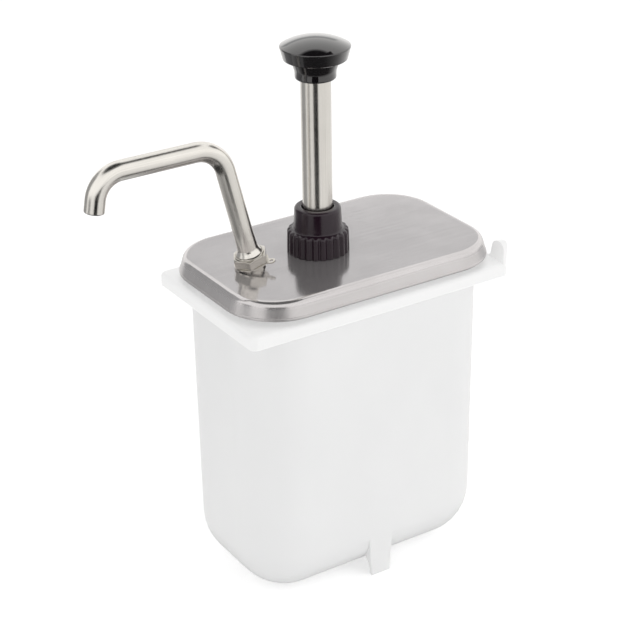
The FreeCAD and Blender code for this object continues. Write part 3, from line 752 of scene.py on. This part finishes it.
def make_nut():
    """A hexagon nut with coned ends and a raised ring round the tube's flare."""
    half_flats = 10.0
    corner_r = half_flats * 1.148
    body = NUT_HEIGHT - 0.9
    crown = half_flats + 0.35
    slope = math.tan(math.radians(30))
    ring_r = FLARE_R + 1.25
    raised = [(ring_r, body), (ring_r - 0.1, NUT_HEIGHT - 0.2), (ring_r - 0.35, NUT_HEIGHT),
              (FLARE_R + 0.45, NUT_HEIGHT), (FLARE_R + 0.15, NUT_HEIGHT - 0.2),
              (FLARE_R + 0.1, NUT_HEIGHT - 1.4), (NUT_BORE_R, NUT_HEIGHT - 1.9)]

    def profile(angle):
        off = angle % (math.pi / 3) - math.pi / 6
        reach = min(half_flats / math.cos(off), corner_r)
        shoulder = body - max(0.0, reach - crown) * slope
        low = [(NUT_BORE_R, 0), (reach - 0.3, 0), (reach - 0.09, 0.09), (reach, 0.3)]
        high = [(reach, shoulder - 0.15), (reach - 0.1, shoulder - 0.02),
                (min(reach, crown) - 0.2, body)]
        return low + high + raised

    bm = turned(profile, 192)
    piece("flare_nut", placed(bm, RISER_FOOT + RISER_AXIS * NUT_S, RISER_AXIS), "pump_head",
          "fitting_steel", "spout_nut", sharp=24.0)


def make_taper_washer():
    """The wedge that brings the leaning nut square to the flat lid."""
    outer = 8.0
    inner = NUT_BORE_R
    top = NUT_S - 0.9
    edge = 0.2

    def profile(angle):
        slant = -math.cos(angle) * math.tan(LEAN)
        return [(inner, top), (outer - edge, top), (outer, top - edge), (outer, outer * slant),
                (inner, inner * slant)]

    bm = turned(profile, 96)
    piece("taper_washer", placed(bm, RISER_FOOT, RISER_AXIS), "pump_head", "fitting_steel",
          "wedge_washer")


def make_gland():
    """The knurled ring nut where the riser leaves the valve body."""
    length = 8.0
    outer = 8.2
    ridges = 36
    ridge_height = 0.28
    edge = 0.5
    band = 1.2
    ridge_start = 1.6
    bore_edge = 0.3

    def profile(angle):
        root = outer - ridge_height * (0.5 - 0.5 * math.cos(ridges * angle))
        return [(TUBE_R, bore_edge), (TUBE_R + bore_edge, 0), (outer - edge, 0), (outer, edge),
                (outer, band), (root, ridge_start), (root, length - ridge_start),
                (outer, length - band), (outer, length - edge), (outer - edge, length),
                (TUBE_R + bore_edge, length), (TUBE_R, length - bore_edge)]

    bm = turned(profile, ridges * 6)
    low, high = box_mm("riser_gland")
    middle = ((low + high) / 2 - RISER_FOOT).dot(RISER_AXIS)
    piece("riser_ring_nut", placed(bm, RISER_FOOT + RISER_AXIS * (middle - length / 2), RISER_AXIS),
          "pump_head", "acetal_white", "riser_gland", sharp=50.0)


# ---------------------------------------------------------------- pump cylinder and spring

def make_cylinder():
    """The barrel, with a clamping flange under the lid and a plain neck through it."""
    low = cylinder_low.z
    high = cylinder_high.z
    outer = 14.9
    bore = 13.0
    flange_r = 19.0
    gasket = 1.5
    flange_top = LID_TOP - LID_SHEET - gasket
    corners = [(bore, low, 0.3), (outer, low, 0.5), (outer, flange_top - 5.0, 1.5),
               (flange_r, flange_top - 3.0, 0.5), (flange_r, flange_top, 0.5),
               (outer, flange_top, 0.3), (outer, high, 0.6), (bore, high, 0.4)]
    bm = lathe(corners, 128, steps=4, longest=12.0)
    piece("pump_barrel", placed(bm, PUMP), "pump_head", "acetal_white", "pump_cylinder")


def make_spring():
    """The return spring: a coil of round wire, drawn at its full length."""
    low, high = box_mm("return_spring")
    coils = 8
    wire = 0.8
    mean = 10.4
    sides = 10
    per_coil = 40
    rise = (high.z - low.z - 2 * wire) / coils
    bm = bmesh.new()
    loops = []
    for k in range(coils * per_coil + 1):
        angle = 2 * math.pi * k / per_coil
        out = Vector((math.cos(angle), math.sin(angle), 0))
        centre = PUMP + out * mean + Z * (low.z + wire + rise * k / per_coil)
        turns = [2 * math.pi * m / sides for m in range(sides)]
        loops.append([bm.verts.new(centre + (out * math.cos(a) + Z * math.sin(a)) * wire)
                      for a in turns])
    for here, after in zip(loops, loops[1:]):
        for m in range(sides):
            n = (m + 1) % sides
            bm.faces.new((here[m], after[m], after[n], here[n]))
    bm.faces.new(loops[0])
    bm.faces.new(list(reversed(loops[-1])))
    bmesh.ops.recalc_face_normals(bm, faces=bm.faces)
    spring = piece("return_coil", bm, "pump_head", "spring_steel", "return_spring")
    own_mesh(spring)


def dress_cad_nodes():
    """Finishes for the CAD nodes whose shape is right as it is."""
    slots = {p["node"]: p["material_slot"] for p in frame["record"]["subparts"]}
    for name, obj in frame["nodes"].items():
        if obj.hide_render:
            continue
        obj.data.materials.clear()
        obj.data.materials.append(finishes[slots[name]])


# ---------------------------------------------------------------- floor, light and camera

CAMERA_AZIMUTH = -32.55        # degrees
CAMERA_ELEVATION = 26.418
CAMERA_ROLL = -0.882
CAMERA_LENS = 99.325           # mm
CAMERA_DISTANCE = 1.138008     # metres
CAMERA_SIDE = -0.0091
CAMERA_RISE = -0.03829

FLOOR_SIZE = 12.0
FLOOR_GREY = 0.93
FLOOR_GLOW = 0.28
WORLD_STRENGTH = 0.74
LIGHT_AIM = 0.18               # the height that the softboxes point at

# Softboxes: azimuth and elevation in degrees, distance, width and height in metres, and watts.
SOFTBOXES = {
    "key": (-80, 42, 1.6, 1.1, 1.1, 2),
    "fill": (35, 30, 1.8, 1.0, 1.2, 4.5),
    "top": (150, 72, 1.7, 1.4, 1.0, 3),
}

# Cards: azimuth in degrees, distance, width, lowest and highest edge in metres, and grey.
CARDS = {
    "flag front": (-36, 0.42, 0.26, 0.0, 0.30, 0.01),
    "flag left": (-87, 0.45, 0.12, -0.1, 0.30, 0.40),
    "flag behind": (-138, 0.90, 0.80, -0.35, 1.10, 0.42),
    "flag far": (152, 3.0, 2.0, 1.38, 1.88, 0.83),
    "flag right": (90, 0.48, 0.45, 1.22, 1.75, 0.03),
}

# How bright the room is in reflections, from straight down (0) to straight up (1).
ROOM_GREYS = [(0.0, 0.02), (0.14, 0.08), (0.22, 1.0), (0.36, 1.05), (0.45, 1.08), (0.50, 1.16),
              (0.58, 1.38), (0.935, 1.30), (0.957, 0.03), (1.0, 0.02)]
ROOM_TINT = (1.0, 0.99, 0.975)


def around(azimuth, elevation):
    """The unit vector from the object towards a place; azimuth 0 is in front, at -Y."""
    a = math.radians(azimuth)
    e = math.radians(elevation)
    return Vector((math.sin(a) * math.cos(e), -math.cos(a) * math.cos(e), math.sin(e)))


def make_camera():
    back = around(CAMERA_AZIMUTH, CAMERA_ELEVATION)
    azimuth = math.radians(CAMERA_AZIMUTH)
    roll = math.radians(CAMERA_ROLL)
    right = Vector((math.cos(azimuth), math.sin(azimuth), 0))
    up = back.cross(right)
    side = right * math.cos(roll) + up * math.sin(roll)
    rise = up * math.cos(roll) - right * math.sin(roll)
    data = bpy.data.cameras.new("camera")
    data.lens = CAMERA_LENS
    data.clip_start = 0.05
    data.clip_end = 50
    camera = linked("camera", data)
    target = Z * (lid_low.z * MM)
    place = target + side * CAMERA_SIDE + rise * CAMERA_RISE + back * CAMERA_DISTANCE
    basis = Matrix((side, rise, back)).transposed().to_4x4()
    camera.matrix_world = Matrix.Translation(place) @ basis
    bpy.context.scene.camera = camera


def make_floor():
    bm = bmesh.new()
    bmesh.ops.create_grid(bm, x_segments=1, y_segments=1, size=FLOOR_SIZE)
    mesh = mesh_of("floor", bm)
    floor = linked("floor", mesh)
    material, _, shader = start_material("floor")
    shader.inputs["Base Color"].default_value = (FLOOR_GREY, FLOOR_GREY, FLOOR_GREY, 1)
    shader.inputs["Roughness"].default_value = 0.9
    shader.inputs["Specular IOR Level"].default_value = 0.1
    shader.inputs["Emission Color"].default_value = (1, 1, 1, 1)
    shader.inputs["Emission Strength"].default_value = FLOOR_GLOW
    mesh.materials.append(material)
    floor.visible_glossy = False


def softbox(name, azimuth, elevation, distance, width, height, power):
    data = bpy.data.lights.new(name, "AREA")
    data.shape = "RECTANGLE"
    data.size = width
    data.size_y = height
    data.energy = power
    light = linked(name, data)
    towards = around(azimuth, elevation)
    light.location = Z * LIGHT_AIM + towards * distance
    light.rotation_euler = (-towards).to_track_quat("-Z", "Y").to_euler()
    light.visible_glossy = False


def flag(name, azimuth, distance, width, low, high, grey):
    """A card that only reflections see, like those that stand round a studio table."""
    towards = around(azimuth, 0)
    across = Vector((-towards.y, towards.x, 0)) * (width / 2)
    centre = towards * distance
    corners = [centre - across + Z * low, centre + across + Z * low,
               centre + across + Z * high, centre - across + Z * high]
    bm = bmesh.new()
    bm.faces.new([bm.verts.new(c) for c in corners])
    mesh = mesh_of(name, bm)
    card = linked(name, mesh)
    material, tree, _ = start_material(name)
    tree.nodes.clear()
    glow = add(tree, "ShaderNodeEmission", {"Color": (grey, grey, grey, 1), "Strength": 1.0})
    add(tree, "ShaderNodeOutputMaterial", {"Surface": glow.outputs[0]})
    mesh.materials.append(material)
    card.visible_camera = False
    card.visible_diffuse = False
    card.visible_shadow = False
    card.visible_transmission = False


def make_world():
    """Even white light, and for reflections a room that is bright at the sides and dark overhead."""
    world = bpy.data.worlds.new("studio")
    bpy.context.scene.world = world
    world.use_nodes = True
    tree = world.node_tree
    even = tree.nodes["Background"]
    even.inputs["Color"].default_value = (1, 1, 1, 1)
    even.inputs["Strength"].default_value = WORLD_STRENGTH
    direction = add(tree, "ShaderNodeTexCoord").outputs["Generated"]
    height = add(tree, "ShaderNodeSeparateXYZ", {0: direction}).outputs["Z"]
    share = spread(tree, height, 0.0, 1.0, -1.0, 1.0)
    ramp = add(tree, "ShaderNodeValToRGB", {"Fac": share})
    stops = ramp.color_ramp.elements
    for place, grey in ROOM_GREYS[1:-1]:
        stops.new(place)
    for stop, (place, grey) in zip(stops, ROOM_GREYS):
        stop.position = place
        stop.color = (*(grey * tint for tint in ROOM_TINT), 1)
    room = add(tree, "ShaderNodeBackground", {"Color": ramp.outputs[0], "Strength": 1.0})
    path = add(tree, "ShaderNodeLightPath")
    mixed = add(tree, "ShaderNodeMixShader", {0: path.outputs["Is Glossy Ray"], 1: even.outputs[0],
                                              2: room.outputs[0]})
    tree.links.new(mixed.outputs[0], tree.nodes["World Output"].inputs["Surface"])


def make_light():
    make_world()
    for name, box in SOFTBOXES.items():
        softbox(name, *box)
    for name, card in CARDS.items():
        flag(name, *card)
    bpy.context.scene.view_settings.view_transform = "Standard"


make_jar()
make_lid()
make_knob()
make_plunger_tube()
make_collar()
make_spout()
make_nut()
make_taper_washer()
make_gland()
make_cylinder()
make_spring()
dress_cad_nodes()
make_floor()
make_light()
make_camera()
